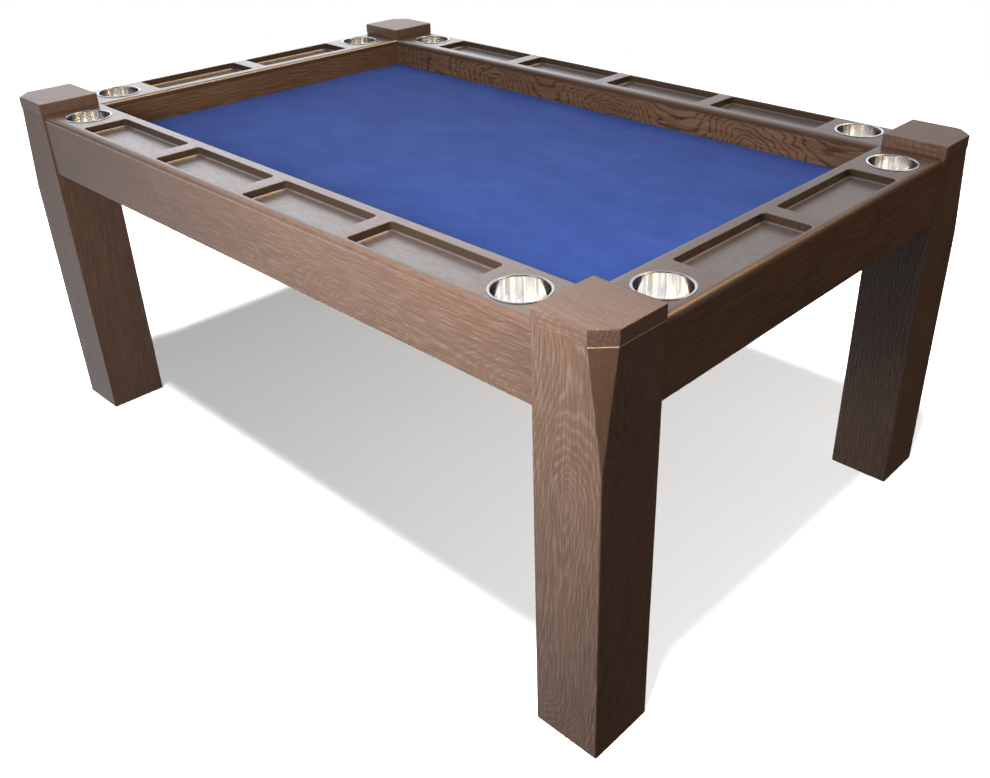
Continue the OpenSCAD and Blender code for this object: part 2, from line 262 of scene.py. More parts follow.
THREADS = (2600, 2600, 900)              # scale of the cloth's twill
HAND_MARKS, FIBRES = (9, 14, 9), (420, 420, 420)
TIMBER_GRAIN, TIMBER_FIBRE, PLY_GRAIN = (3, 90, 90), (40, 900, 900), (3, 60, 60)
PLY_T = 0.0014


class Finish:
    """A procedural material under construction."""

    def __init__(self, name, **shader):
        self.material = bpy.data.materials.new(name)
        self.material.use_nodes = True
        self.nodes = self.material.node_tree.nodes
        self.links = self.material.node_tree.links
        self.shader = self.nodes["Principled BSDF"]
        self.set(self.shader, shader)

    def set(self, node, inputs):
        """Links or sets inputs, which are given by name or by number."""
        for name, value in inputs.items():
            socket = node.inputs[name]
            if isinstance(value, bpy.types.NodeSocket):
                self.links.new(value, socket)
            elif socket.type == "RGBA":
                socket.default_value = (*value[:3], 1)
            else:
                socket.default_value = value

    def add(self, kind, inputs, out=0, **settings):
        node = self.nodes.new("ShaderNode" + kind)
        for name, value in settings.items():
            setattr(node, name, value)
        self.set(node, inputs)
        return node.outputs[out]

    def math(self, operation, a, b=0.0):
        return self.add("Math", {0: a, 1: b}, operation=operation)

    def vector(self, operation, a, b):
        return self.add("VectorMath", {0: a, 1: b}, operation=operation)

    def scaled(self, vector, scale):
        return self.vector("MULTIPLY", vector, scale)

    def parts(self, vector):
        """The three components of a vector."""
        node = self.nodes.new("ShaderNodeSeparateXYZ")
        self.links.new(vector, node.inputs[0])
        return node.outputs

    def place(self):
        """Object coordinates."""
        return self.add("TexCoord", {}, out=3)

    def normal(self):
        """The three components of the surface normal."""
        return self.parts(self.add("NewGeometry", {}, out=1))

    def noise(self, vector, detail=2.0, roughness=0.5):
        return self.add("TexNoise", {"Vector": vector, "Scale": 1.0, "Detail": detail,
                                     "Roughness": roughness})

    def shake(self, vector, detail, reach):
        """Noise in all three directions, from minus half the reach to plus half of it."""
        noise = self.add("TexNoise", {"Vector": vector, "Scale": 1.0, "Detail": detail}, out=1)
        return self.scaled(self.vector("SUBTRACT", noise, (0.5, 0.5, 0.5)), reach)

    def spread(self, value, low, high, to_low=0.0, to_high=1.0):
        """A smooth step from one value to another."""
        return self.add("MapRange", {"Value": value, "From Min": low, "From Max": high,
                                     "To Min": to_low, "To Max": to_high}, interpolation_type="SMOOTHSTEP")

    def mix(self, factor, a, b):
        return self.add("Mix", {0: factor, 6: a, 7: b}, out=2, data_type="RGBA")

    def bump(self, height, strength, distance):
        return self.add("Bump", {"Height": height, "Strength": strength, "Distance": distance})

    def board_coordinates(self, along, seed):
        """Object coordinates turned so that X runs along the grain, and the same shifted to a board of
        its own."""
        turn = {"X": (0, 0, 0), "Y": (0, 0, -math.pi / 2), "Z": (0, math.pi / 2, 0)}[along]
        own = self.add("Mapping", {"Vector": self.place(), "Rotation": turn})
        shift = random.Random(seed)
        away = tuple(shift.uniform(-40, 40) for _ in range(3))
        return own, self.vector("ADD", own, away)

    def done(self, **shader):
        self.set(self.shader, shader)
        return self.material


def oak(name, along, figure, seed, tones, pitch, sway, contrast,
        polish=0.42, bare=False, crisp=0.0, painted_arris_glint=False):
    """Stained open-grained oak. The growth rings lie round eyes strung along the grain, so they show as
    ovals and arches near the eye and as straight grain away from it. figure gives one eye in coordinates
    whose X runs along the grain, the string's lean in degrees and how far the rings open along it. pitch
    is the width of a ring, sway how far it wanders and contrast how strongly it shows. bare keeps the
    strokes off faces that slant between X and Y, quietens them on faces across X and opens the ovals to
    one side of the eye. crisp makes the rings thinner and less broken. The last flag paints a highlight:
    pale golden wood along the top edge of the faces turned towards +X, where a lamp would glint."""
    eye, lean, swell = figure
    f = Finish(name, **{"Specular IOR Level": 0.5})
    own, shifted = f.board_coordinates(along, seed)
    warped = f.vector("ADD", own, f.shake(f.scaled(shifted, WANDER), 3.0, (2 * sway, sway, sway)))
    warped = f.vector("ADD", warped, f.shake(f.scaled(shifted, RIPPLE), 1.0, RIPPLE_REACH))
    trunk = f.add("Mapping", {"Vector": f.vector("SUBTRACT", warped, eye),
                              "Rotation": (0, math.radians(lean[0]), math.radians(lean[1]))})
    axes = f.parts(trunk)
    run = f.math("MULTIPLY", f.math("SINE", f.math("DIVIDE", axes[0], EYE_SPACING / math.pi)), swell)
    if bare:
        run = f.math("MAXIMUM", run, f.math("MULTIPLY", run, -UNDER_EYE))
    from_eye = f.add("CombineXYZ", {0: run, 1: axes[1], 2: axes[2]})
    reach = f.add("VectorMath", {0: from_eye}, out=1, operation="LENGTH")
    uneven = f.noise(f.scaled(f.vector("ADD", trunk, (5, 5, 5)), UNEVEN), detail=1.0)
    age = f.math("ADD", f.math("DIVIDE", reach, pitch), f.math("MULTIPLY", uneven, RING_BREAK))
    line = f.spread(f.math("PINGPONG", age, 0.5), 0.18 + 0.12 * crisp, 0.42 + 0.04 * crisp)
    wide = f.spread(f.noise(f.scaled(shifted, WIDE_PORES), detail=1.0), 0.47, 0.60)
    fine = f.spread(f.noise(f.scaled(shifted, FINE_PORES), detail=2.0), 0.50, 0.60)
    pores = f.math("ADD", f.math("MULTIPLY", wide, 0.7), f.math("MULTIPLY", fine, 0.3))
    broken = f.math("ADD", f.math("MULTIPLY", pores, 0.7 - 0.3 * crisp), 0.3 + 0.3 * crisp)
    bands = f.math("MULTIPLY", line, broken)
    strokes = f.math("ADD", f.math("MULTIPLY", bands, contrast), f.math("MULTIPLY", pores, PORE_SHOW))
    if bare:
        normal = f.normal()
        slant = f.math("ABSOLUTE", f.math("MULTIPLY", normal[0], normal[1]))
        strokes = f.math("MULTIPLY", strokes, f.spread(slant, 0.15, 0.40, 1.0, 0.15))
        flat_sawn = f.spread(f.math("ABSOLUTE", normal[1]), 0.3, 0.6, 0.4, 1.0)
        strokes = f.math("MULTIPLY", strokes, flat_sawn)
    clouds = f.noise(f.scaled(shifted, CLOUDS), detail=3.0, roughness=0.6)
    stain = f.mix(f.spread(clouds, 0.3, 0.7), tones["dark"], tones["light"])
    colour = f.mix(strokes, stain, tones["stroke"])
    # Painted highlight: pale golden wood along the top edge of the faces turned towards +X, standing in for
    # a lamp's glint on the arris.
    if painted_arris_glint:
        height = f.parts(own)[0]
        glint = f.math("MULTIPLY", f.spread(height, RAIL_Z - GLINT_LOW, RAIL_Z - GLINT_HIGH),
                       f.spread(normal[0], 0.25, 0.45))
        colour = f.mix(glint, colour, ARRIS_GLINT)
    return f.done(**{
        "Base Color": colour,
        "Roughness": f.math("ADD", f.math("MULTIPLY", strokes, 0.15), polish),
        "Normal": f.bump(f.math("MULTIPLY", strokes, -1.0), 0.4, 0.0006)})


def satin_rail(name, along, seed):
    """The same stain on closer, plainer oak under a satin lacquer that mirrors at a low angle. Painted
    light
    lies on it: the outer round is painted paler as if brightly lit, the walls of the trays are darkened
    with painted shade and their floors are painted a grey sheen."""
    f = Finish(name, **{"Specular IOR Level": 0.5, "Coat Weight": 0.55, "Coat Roughness": 0.24})
    own, shifted = f.board_coordinates(along, seed)
    grain = f.noise(f.scaled(shifted, RAIL_GRAIN), detail=4.0, roughness=0.6)
    pores = f.spread(f.noise(f.scaled(shifted, RAIL_PORES), detail=2.0), 0.52, 0.62)
    clouds = f.noise(f.scaled(shifted, RAIL_CLOUDS), detail=2.0)
    tone = f.math("ADD", f.math("MULTIPLY", grain, 0.6), f.math("MULTIPLY", clouds, 0.4))
    stain = f.mix(f.spread(tone, 0.36, 0.64), RAIL_DARK, RAIL_LIGHT)
    _, depth, height = f.parts(own)
    # Painted light: the outer round made paler, as if lit brighter than the top.
    outer_round = f.spread(depth, RAIL_OUT + NOSING_LIGHT_SPAN[0], RAIL_OUT + NOSING_LIGHT_SPAN[1], 0.9, 0.0)
    stain = f.mix(outer_round, stain, RAIL_NOSING_LIGHT)
    near, far = BESIDE_TRAYS
    between = f.math("MULTIPLY", f.spread(depth, RAIL_OUT + near, RAIL_OUT + far),
                     f.spread(depth, RAIL_IN - far, RAIL_IN - near, 1.0, 0.0))
    upright = f.spread(f.math("ABSOLUTE", f.normal()[2]), 0.3, 0.9, 1.0, 0.0)
    below = f.spread(height, RAIL_Z - IN_TRAYS[0], RAIL_Z - IN_TRAYS[1], 1.0, 0.0)
    sunk = f.math("MULTIPLY", between, below)
    floor_sheen_mask = f.math("MULTIPLY", sunk, f.math("SUBTRACT", 1.0, upright))
    # Painted shade: the upright walls of the trays darkened.
    stain = f.mix(f.math("MULTIPLY", f.math("MULTIPLY", between, upright), 0.65), stain, TRAY_WALL_SHADE)
    # Painted reflection: the tray floors turned grey, standing in for the lacquer's sheen.
    stain = f.mix(f.math("MULTIPLY", floor_sheen_mask, 0.5), stain, TRAY_FLOOR_SHEEN)
    return f.done(**{
        "Base Color": f.mix(f.math("MULTIPLY", pores, 0.40), stain, RAIL_PORE),
        "Roughness": f.math("ADD", f.math("MULTIPLY", pores, 0.10), f.spread(grain, 0.3, 0.7, 0.27, 0.34)),
        "Normal": f.bump(f.math("SUBTRACT", grain, pores), 0.12, 0.0004)})


def speed_cloth():
    """Tight twill of a playing surface, with the faint marks that hands leave on it."""
    f = Finish("blue_speed_cloth", **{"Sheen Weight": 0.09, "Sheen Roughness": 0.5, "Roughness": 0.85,
                                      "Sheen Tint": CLOTH_SHEEN, "Specular IOR Level": 0.15})
    place = f.place()
    twill = {"Vector": place, "Rotation": (0, 0, math.radians(45)), "Scale": THREADS}
    waves = {"Vector": f.add("Mapping", twill), "Scale": 0.5, "Distortion": 0.6, "Detail": 1.0}
    warp, weft = (f.add("TexWave", waves, bands_direction=direction) for direction in "XY")
    weave = f.math("MULTIPLY", warp, weft)
    marks = f.noise(f.scaled(place, HAND_MARKS), detail=6.0, roughness=0.62)
    fibres = f.noise(f.scaled(place, FIBRES), detail=3.0)
    shade = f.mix(f.spread(marks, 0.34, 0.68), CLOTH_DARK, CLOTH_LIGHT)
    colour = f.mix(f.math("MULTIPLY", f.spread(fibres, 0.45, 0.75), 0.40), shade, CLOTH_FIBRE)
    return f.done(**{
        "Base Color": colour,
        "Normal": f.bump(f.math("ADD", weave, fibres), 0.25, 0.0002)})


def steel():
    """Drawn and polished stainless steel, brushed round the cup, rougher on its rim, which is darkened with
    painted shade.
    """
    f = Finish("drawn_stainless", **{"Metallic": 1.0})
    place = f.place()
    # The rim band is rougher, and its colour is darkened with painted shade.
    dull_shaded_rim = f.spread(f.parts(place)[2], RAIL_Z - 0.0012, RAIL_Z - 0.0004)
    smears = f.noise(f.scaled(place, (60, 60, 8)), detail=3.0)
    round_the_cup = f.add("Tangent", {}, direction_type="RADIAL", axis="Z")
    return f.done(**{
        "Base Color": f.mix(dull_shaded_rim, STEEL, STEEL_RIM_SHADE),
        "Anisotropic": 0.9, "Anisotropic Rotation": 0.25, "Tangent": round_the_cup,
        "Roughness": f.math("ADD", f.spread(smears, 0.3, 0.7, 0.10, 0.15), f.math("MULTIPLY", dull_shaded_rim, 0.15))})


def plain_metal(name, colour, roughness):
    """Plated or cast metal with a slightly mottled surface."""
    f = Finish(name, **{"Metallic": 1.0})
    mottle = f.noise(f.scaled(f.place(), (300, 300, 300)), detail=4.0)
    return f.done(**{
        "Base Color": f.mix(f.spread(mottle, 0.3, 0.7), tuple(0.8 * c for c in colour), colour),
        "Roughness": f.spread(mottle, 0.3, 0.7, roughness, roughness + 0.15),
        "Normal": f.bump(mottle, 0.1, 0.0003)})


def raw_timber(name, along, seed, tones):
    """Unfinished pale wood with plain straight grain."""
    f = Finish(name, Roughness=0.62)
    _, shifted = f.board_coordinates(along, seed)
    grain = f.noise(f.scaled(shifted, TIMBER_GRAIN), detail=5.0, roughness=0.6)
    fibre = f.noise(f.scaled(shifted, TIMBER_FIBRE), detail=2.0)
    return f.done(**{
        "Base Color": f.mix(f.spread(grain, 0.32, 0.68), *tones),
        "Normal": f.bump(f.math("ADD", grain, f.math("MULTIPLY", fibre, 0.4)), 0.2, 0.0004)})


def plywood(name, layers, seed):
    """Plywood: face grain, and plies that show on its edges across the layers' axis."""
    f = Finish(name, Roughness=0.6)
    along = {"X": "Z", "Y": "Z", "Z": "X"}[layers]
    across = "XYZ".index(layers)
    _, shifted = f.board_coordinates(along, seed)
    grain = f.noise(f.scaled(shifted, PLY_GRAIN), detail=5.0, roughness=0.62)
    ply = f.math("PINGPONG", f.math("DIVIDE", f.parts(f.place())[across], PLY_T), 1.0)
    face = f.spread(f.math("ABSOLUTE", f.normal()[across]), 0.4, 0.9)
    edge = f.mix(f.spread(ply, 0.35, 0.65), *PLY_EDGE)
    surface = f.mix(f.spread(grain, 0.35, 0.68), *PLY_FACE)
    return f.done(**{
        "Base Color": f.mix(face, edge, surface),
        "Normal": f.bump(grain, 0.2, 0.0004)})


def soft_layer(name, tones, scale):
    """Felt or foam: an uneven matt surface of fine cells or fibres."""
    f = Finish(name, **{"Roughness": 0.95, "Sheen Weight": 0.2, "Sheen Roughness": 0.6})
    cells = f.noise(f.scaled(f.place(), (scale,) * 3), detail=4.0, roughness=0.7)
    return f.done(**{
        "Base Color": f.mix(f.spread(cells, 0.35, 0.65), *tones),
        "Normal": f.bump(cells, 0.5, 0.0008)})


# ---- legs, caps and pads ----

# Figures of the oak: an eye, the lean and the swell, as oak() takes them.
ARCHED_LEG = ((0.50, 0.060, -0.006), (0, 7), 0.070)
PLAIN_LEG = ((0.30, 0.210, 0.060), (0.6, 0.4), 0.030)
CAP_ALONG_X = ((0.10, 0.05, 0.775), (4, 20), 0.03)
CAP_ALONG_Y = ((0.03, -0.05, 0.775), (4, 20), 0.03)
APRON_FIGURES = {"front": ((0.33, RAIL_OUT + 0.012, 0.655), (-1.5, 0), 0.055),
                 "right": ((0.1, 0.05, 0.95), (0.5, 0.4), 0.02),
                 "back": ((-0.3, RAIL_OUT + 0.012, 0.66), (1, 0), 0.05),
                 "left": ((0.1, -0.1, 0.60), (0.6, 0.5), 0.02)}
WALL_FIGURES = {"front": ((0.3, RAIL_IN - 0.01, 0.70), (1, 0), 0.06),
                "right": ((0.1, 0.05, 0.95), (0.5, 0.4), 0.02),
                "back": ((-0.05, RAIL_IN - 0.008, 0.705), (1, 0), 0.075),
                "left": ((0.1, 0.1, 0.95), (0.4, 0.3), 0.02)}


def leg(corner):
    """Square post whose outer corner is cut by a slant that runs out downwards."""
    low, high = LEG_INSET, CAP_SIDE
    hidden_cut = (2 - math.sqrt(2)) * LEG_EDGE_R
    run_out = RAIL_Z - LEG_TAPER * (1 - hidden_cut / LEG_CHAMFER)
    plain = chamfered_corners(low, high, 0, LEG_EDGE_R)
    near_top = LEG_CHAMFER * (1 - LEG_TOP_EASE / LEG_TAPER)
    cut_near_top = chamfered_corners(low, high, near_top, LEG_EDGE_R)
    cut_at_top = chamfered_corners(low, high, LEG_CHAMFER, LEG_EDGE_R)
    bm = bmesh.new()
    loft(bm, [
        ring(plain, LEG_EDGE_R - LEG_FOOT_EASE, LEG_FOOT),
        ring(plain, LEG_EDGE_R - 0.3 * LEG_FOOT_EASE, LEG_FOOT + 0.3 * LEG_FOOT_EASE),
        ring(plain, LEG_EDGE_R, LEG_FOOT + LEG_FOOT_EASE),
        ring(plain, LEG_EDGE_R, run_out),
        ring(cut_near_top, LEG_EDGE_R, RAIL_Z - LEG_TOP_EASE),
        ring(cut_at_top, LEG_EDGE_R - LEG_TOP_EASE, RAIL_Z)])
    name = corner[0]
    figure = ARCHED_LEG if name in ("front_right", "back_left") else PLAIN_LEG
    finish = oak(f"oak_leg_{name}", "Z", figure, f"leg {name}", PALE_STROKES, pitch=0.0064, sway=0.026,
                 contrast=0.65, bare=True, crisp=0.4, painted_arris_glint=name == "front_right")
    finish_piece(make_object(f"{name}_leg", bm, corner_matrix(corner)), finish, "stained_oak", "root",
                 f"leg_{name}")


def corner_cap(corner):
    """Square block with its outer corner cut off and all its edges sanded round."""
    corners = chamfered_corners(0, CAP_SIDE, CAP_CHAMFER, CAP_EDGE_R)
    rings = [ring(corners, CAP_EDGE_R - CAP_FOOT_R, RAIL_Z), ring(corners, CAP_EDGE_R, RAIL_Z + CAP_FOOT_R)]
    kept = 0.02 * CAP_EDGE_R                 # of the corner's radius at the very top
    for inset, rise in arc((0, CAP_Z - CAP_EDGE_R), CAP_EDGE_R * 0.98, 0, 90, 4):
        rings.append(ring(corners, inset + kept, rise))
    bm = bmesh.new()
    loft(bm, rings)
    name = corner[0]
    along, figure = ("Y", CAP_ALONG_Y) if corner[1] % 180 else ("X", CAP_ALONG_X)
    finish = oak(f"oak_cap_{name}", along, figure, f"cap {name}", CAP_TONES, pitch=0.0048, sway=0.020,
                 contrast=0.5, polish=0.34)
    finish_piece(make_object(f"{name}_cap", bm, corner_matrix(corner)), finish, "cap_oak", "root",
                 f"corner_cap_{name}")


def foot_pad(corner, finish):
    """Thin felt pad, slightly squashed round at the rim."""
    low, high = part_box(f"foot_pad_{corner[0]}")
    r = PAD_CORNER_R
    corners = block_corners(low.x, high.x, low.y, high.y, r)
    squash_in, squash_up = 0.0006, 0.0007
    ease_in, ease_down = 0.0003, 0.0004
    bm = bmesh.new()
    loft(bm, [ring(corners, r - squash_in, low.z), ring(corners, r, low.z + squash_up),
              ring(corners, r, high.z - ease_down), ring(corners, r - ease_in, high.z)])
    finish_piece(make_object(f"{corner[0]}_pad", bm), finish, "felt", "root", f"foot_pad_{corner[0]}")


# ---- rails ----

def side_half(side):
    """Half the length of a side between its legs."""
    return side[3] - CAP_SIDE


def extrude_section(section, side, name):
    """Panel of a section given as (depth, height), cut square at the legs and mitred past them."""
    half = side_half(side)
    bm = bmesh.new()
    ends = [[(sign * (half - max(0, y - CAP_SIDE)), y, z) for y, z in section] for sign in (-1, 1)]
    loft(bm, ends)
    return make_object(name, bm, side_matrix(side))


def apron(side):
    """Board under the outer edge of a rail, with a tongue up under the rail's lip."""
    y0, y1 = RAIL_OUT, RAIL_OUT + APRON_T
    e = PANEL_EASE
    section = [*arc((y0 + e, APRON_Z + e), e, 180, 270, 3), *arc((y1 - e, APRON_Z + e), e, 270, 360, 3),
               (y1, SHOULDER_Z), (y0 + PANEL_TONGUE, SHOULDER_Z), (y0 + PANEL_TONGUE, LIP_Z), (y0, LIP_Z)]
    name = side[0]
    tones = PALE_STROKES if name in ("front", "back") else QUIET_STROKES
    finish = oak(f"oak_apron_{name}", "X", APRON_FIGURES[name], f"apron {name}", tones, pitch=0.0050,
                 sway=0.030, contrast=0.35)
    finish_piece(extrude_section(section, side, f"{name}_apron"), finish, "stained_oak", "root",
                 f"apron_{name}")


def well_wall(side):
    """Board down the side of the well, with a tongue up under the rail's lip."""
    y0, y1 = RAIL_IN - APRON_T, RAIL_IN
    e = PANEL_EASE
    section = [*arc((y0 + e, APRON_Z + e), e, 180, 270, 3), (CAP_SIDE, APRON_Z),
               *arc((y1 - e, APRON_Z + e), e, 270, 360, 3), (y1, LIP_Z), (CAP_SIDE, LIP_Z),
               (y1 - PANEL_TONGUE, LIP_Z), (y1 - PANEL_TONGUE, SHOULDER_Z), (y0, SHOULDER_Z)]
    name = side[0]
    tones = DARK_STROKES if name in ("front", "back") else WALL_STROKES
    finish = oak(f"oak_wall_{name}", "X", WALL_FIGURES[name], f"wall {name}", tones, pitch=0.0078,
                 sway=0.045, contrast=1.0, crisp=1.0)
    finish_piece(extrude_section(section, side, f"{name}_well_wall"), finish, "stained_oak", "root",
                 f"well_wall_{name}")


def tray_boxes(side):
    """Extent along and across the side of each of its trays with its floor, from the record's openings."""
    back = side_matrix(side).inverted()
    found = []
    for opening in frame["record"]["physics"]["openings"]:
        if opening["name"].startswith(f"tray_{side[0]}_"):
            a, b = (back @ Vector(corner) for corner in opening["box_m"])
            found.append((min(a.x, b.x) - TRAY_CLEARANCE, max(a.x, b.x) + TRAY_CLEARANCE,
                          min(a.y, b.y) - TRAY_CLEARANCE, max(a.y, b.y) + TRAY_CLEARANCE,
                          min(a.z, b.z) - TRAY_FLOOR_CLEARANCE))
    return sorted(found)


def cup_places(side):
    """Centre along and across the side of each of its cups, with the cup's node."""
    back = side_matrix(side).inverted()
    found = []
    for node in frame["nodes"]:
        if node.startswith(f"cup_{side[0]}_"):
            low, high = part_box(node)
            centre = back @ ((low + high) / 2)
            found.append((centre.x, centre.y, node))
    return sorted(found)


def fill_round_loop(bm, cell, loop):
    """Flat faces between a cell's four corners and a loop of four corner arcs inside it."""
    per_arc = len(loop) // 4
    for q in range(4):
        part = loop[q * per_arc:(q + 1) * per_arc]
        following = loop[(q + 1) * per_arc % len(loop)]
        for a, b in zip(part, part[1:]):
            bm.faces.new((cell[q], a, b))
        bm.faces.new((cell[q], part[-1], following, cell[(q + 1) % 4]))


def tray_rings(box):
    """Loops of a tray, from its sanded rim down the wall and round the cove to the floor."""
    x0, x1, y0, y1, floor = box
    corners = block_corners(x0, x1, y0, y1, TRAY_CORNER_R)
    rings = [ring(corners, TRAY_CORNER_R + TRAY_EDGE_R, RAIL_Z)]
    for out, up in arc((TRAY_EDGE_R, -TRAY_EDGE_R), TRAY_EDGE_R, 90, 180, 3)[1:]:
        rings.append(ring(corners, TRAY_CORNER_R + out, RAIL_Z + up))
    for out, up in arc((-TRAY_COVE_R, TRAY_COVE_R), TRAY_COVE_R, 0, -90, 4):
        rings.append(ring(corners, TRAY_CORNER_R + out, floor + up))
    return rings


def rail_board(side):
    """Lacquered board on top of a rail, with its trays and a hole for each cup."""
    name = side[0]
    half = side_half(side)
    flat_out, flat_in = RAIL_OUT + RAIL_OUTER_R, RAIL_IN - RAIL_INNER_R
    body_out, body_in = RAIL_OUT + RAIL_TONGUE, RAIL_IN - RAIL_TONGUE
    turn = math.degrees(math.acos((CAP_SIDE - flat_in) / RAIL_INNER_R))
    inner_round = arc((flat_in, RAIL_Z - RAIL_INNER_R), RAIL_INNER_R, turn, 0, 6)
    outer_round = arc((flat_out, RAIL_Z - RAIL_OUTER_R), RAIL_OUTER_R, 180, 90, 7)
    inner_side = [(flat_in, RAIL_Z), *inner_round, (RAIL_IN, LIP_Z), (CAP_SIDE, LIP_Z),
                  (body_in, LIP_Z), (body_in, SHOULDER_Z)]
    outer_side = [(body_out, SHOULDER_Z), (body_out, LIP_Z), (RAIL_OUT, LIP_Z), *outer_round]
    trays = tray_boxes(side)
    cups = cup_places(side)
    gaps = [(a[1] + b[0]) / 2 for a, b in zip(trays, trays[1:])]
    gap = trays[1][0] - trays[0][1]
    cuts = [-half, trays[0][0] - gap / 2, *gaps, trays[-1][1] + gap / 2, half]

    bm = bmesh.new()
    stations = []
    for x in cuts:
        end = math.copysign(1, x) if abs(x) == half else 0
        chains = [new_loop(bm, [(x - end * max(0, y - CAP_SIDE), y, z) for y, z in chain])
                  for chain in (inner_side, outer_side)]
        stations.append(chains)
    for before, after in zip(stations, stations[1:]):
        for chain, next_chain in zip(before, after):
            for i in range(len(chain) - 1):
                bm.faces.new((chain[i], chain[i + 1], next_chain[i + 1], next_chain[i]))
    past_leg = len(inner_round)
    for inner, outer in (stations[0], stations[-1]):
        bm.faces.new(inner[1:past_leg + 3])
        bm.faces.new([inner[0], inner[1], *inner[past_leg + 2:], *outer])

    holes = [("cup", cups[0]), *(("tray", box) for box in trays), ("cup", cups[-1])]
    for (kind, hole), before, after in zip(holes, stations, stations[1:]):
        top = [after[0][0], before[0][0], before[1][-1], after[1][-1]]
        under = [after[0][-1], before[0][-1], before[1][0], after[1][0]]
        if kind == "tray":
            loops = loft(bm, tray_rings(hole)[1:], start=new_loop(bm, tray_rings(hole)[0]))
            bm.faces.new(under)
        else:
            circle = [(hole[0], hole[1], a, a + 90) for a in (0, 90, 180, 270)]
            loops = [new_loop(bm, ring(circle, CUP_HOLE_R, z, 16)) for z in (RAIL_Z, SHOULDER_Z)]
            join_loops(bm, *loops)
            fill_round_loop(bm, under, loops[1])
        fill_round_loop(bm, top, loops[0])
    piece = make_object(f"{name}_rail", bm, side_matrix(side))
    finish_piece(piece, satin_rail(f"satin_{name}", "X", f"rail {name}"), "rail_lacquer", "root",
                 f"rail_board_{name}")


# ---- cups ----

def cup(node, finish):
    """Drawn cup: rounded floor, straight wall and a flat rim with a rolled edge."""
    low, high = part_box(node)
    centre = (low + high) / 2
    rim_r = (high.x - low.x) / 2
    inner_r = CUP_BODY_R - CUP_WALL
    profile = [*arc((inner_r - CUP_FLOOR_R, low.z + CUP_WALL + CUP_FLOOR_R), CUP_FLOOR_R, -90, 0, 8),
               *arc((inner_r + CUP_LIP_R, high.z - CUP_LIP_R), CUP_LIP_R, 180, 90, 6),
               *arc((rim_r - CUP_ROLL_R, high.z - CUP_ROLL_R), CUP_ROLL_R, 90, -90, 6),
               (CUP_BODY_R + CUP_NECK, RAIL_Z), (CUP_BODY_R, RAIL_Z - CUP_NECK),
               *arc((CUP_BODY_R - CUP_FLOOR_R, low.z + CUP_FLOOR_R), CUP_FLOOR_R, 0, -90, 8)]
    bm = bmesh.new()
    circle = [(0, 0, 0, CUP_TURN)]
    loft(bm, [ring(circle, r, z, 24) for r, z in profile])
    name = "_".join((*node.split("_")[1:], "cup"))
    piece = make_object(name, bm, Matrix.Translation((centre.x, centre.y, 0)))
    CUPS.append(finish_piece(piece, finish, "stainless_steel", node, node))


# ---- playing surface ----

def cloth_piece(finish):
    """Cloth over the foam, round the edges of the board and turned in under it."""
    x, y = cloth_high.x, cloth_high.y
    r = CLOTH_EDGE_R
    t = CLOTH_T
    low, high = cloth_low.z, cloth_high.z

    def level(inset, z):
        corner = max(r - inset, CLOTH_MIN_R)
        return ring(block_corners(inset - x, x - inset, inset - y, y - inset, corner), corner, z)

    outside = [level(r - out, high - r + up) for out, up in arc((0, 0), r, 90, 0, 5)]
    outside += [level(t - out, low + t + up) for out, up in arc((0, 0), t, 0, -90, 4)]
    inside = [level(t + CLOTH_CREASE, low + t), level(t, low + t + CLOTH_CREASE)]
    inside += [level(r - out, high - r + up) for out, up in arc((0, 0), r - t, 0, 90, 4)]
    bm = bmesh.new()
    loft(bm, [*outside, level(HEM, low), level(HEM, low + t), *inside])
    piece = make_object("cloth_over_board", bm)
    finish_piece(piece, finish, "speed_cloth", "playfield", "speed_cloth")
    piece.visible_diffuse = False
    piece.visible_glossy = False


def foam_piece(finish):
    """Foam layer, with its cut edges rounded where the cloth pulls over them."""
    r = FOAM_EDGE_R
    corners = block_corners(foam_low.x, foam_high.x, foam_low.y, foam_high.y, r)
    rings = [ring(corners, r, foam_low.z)]
    for out, up in arc((0, 0), r, 0, 90, 4):
        rings.append(ring(corners, max(out, FOAM_MIN_R), foam_high.z - r + up))
    bm = bmesh.new()
    loft(bm, rings)
    piece = make_object("foam_layer", bm)
    finish_piece(piece, finish, "foam", "playfield", "foam_pad")


# ---- pieces kept from the frame ----

def dress_nodes():
    """Eases the edges of the CAD nodes that stay and gives them their finishes."""
    zinc = plain_metal("zinc_plate", ZINC, 0.32)
    brass = plain_metal("brass_insert", BRASS, 0.35)
    for name, node in frame["nodes"].items():
        if node.hide_render:
            continue
        if name in ("leg_bolts", "cleat_screws"):
            material = zinc
        elif name == "leg_inserts":
            material = brass
        elif name == "playing_board":
            material = plywood("birch_ply_board", "Z", name)
        elif name == "cap_dowels":
            material = raw_timber("birch_dowels", "Z", name, BIRCH)
        elif name.startswith("rail_ribs"):
            along_x = name.endswith(("front", "back"))
            material = plywood(f"birch_ply_{name}", "X" if along_x else "Y", name)
        else:
            low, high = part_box(name)
            size = high - low
            longest = "XYZ"[max(range(3), key=lambda i: size[i])]
            along = "Z" if name.startswith("end_blocks") else longest
            material = raw_timber(f"poplar_{name}", along, name, POPLAR)
        for entry in node.material_slots:
            entry.material = material
        weld = node.modifiers.new("weld", "WELD")
        weld.merge_threshold = WELD_GAP
        ease = node.modifiers.new("ease", "BEVEL")
        hardware = name in ("leg_bolts", "cleat_screws", "leg_inserts")
        ease.width = HARDWARE_EASE if hardware else TIMBER_EASE
        ease.segments = 2
        ease.limit_method = "ANGLE"
        ease.angle_limit = EASE_ABOVE
        ease.harden_normals = False


# ---- stage ----

FLOOR_MIDDLE, FLOOR_REACH, FLOOR_STEPS = Vector((0.8, -1.6, 0)), 5.8, 96


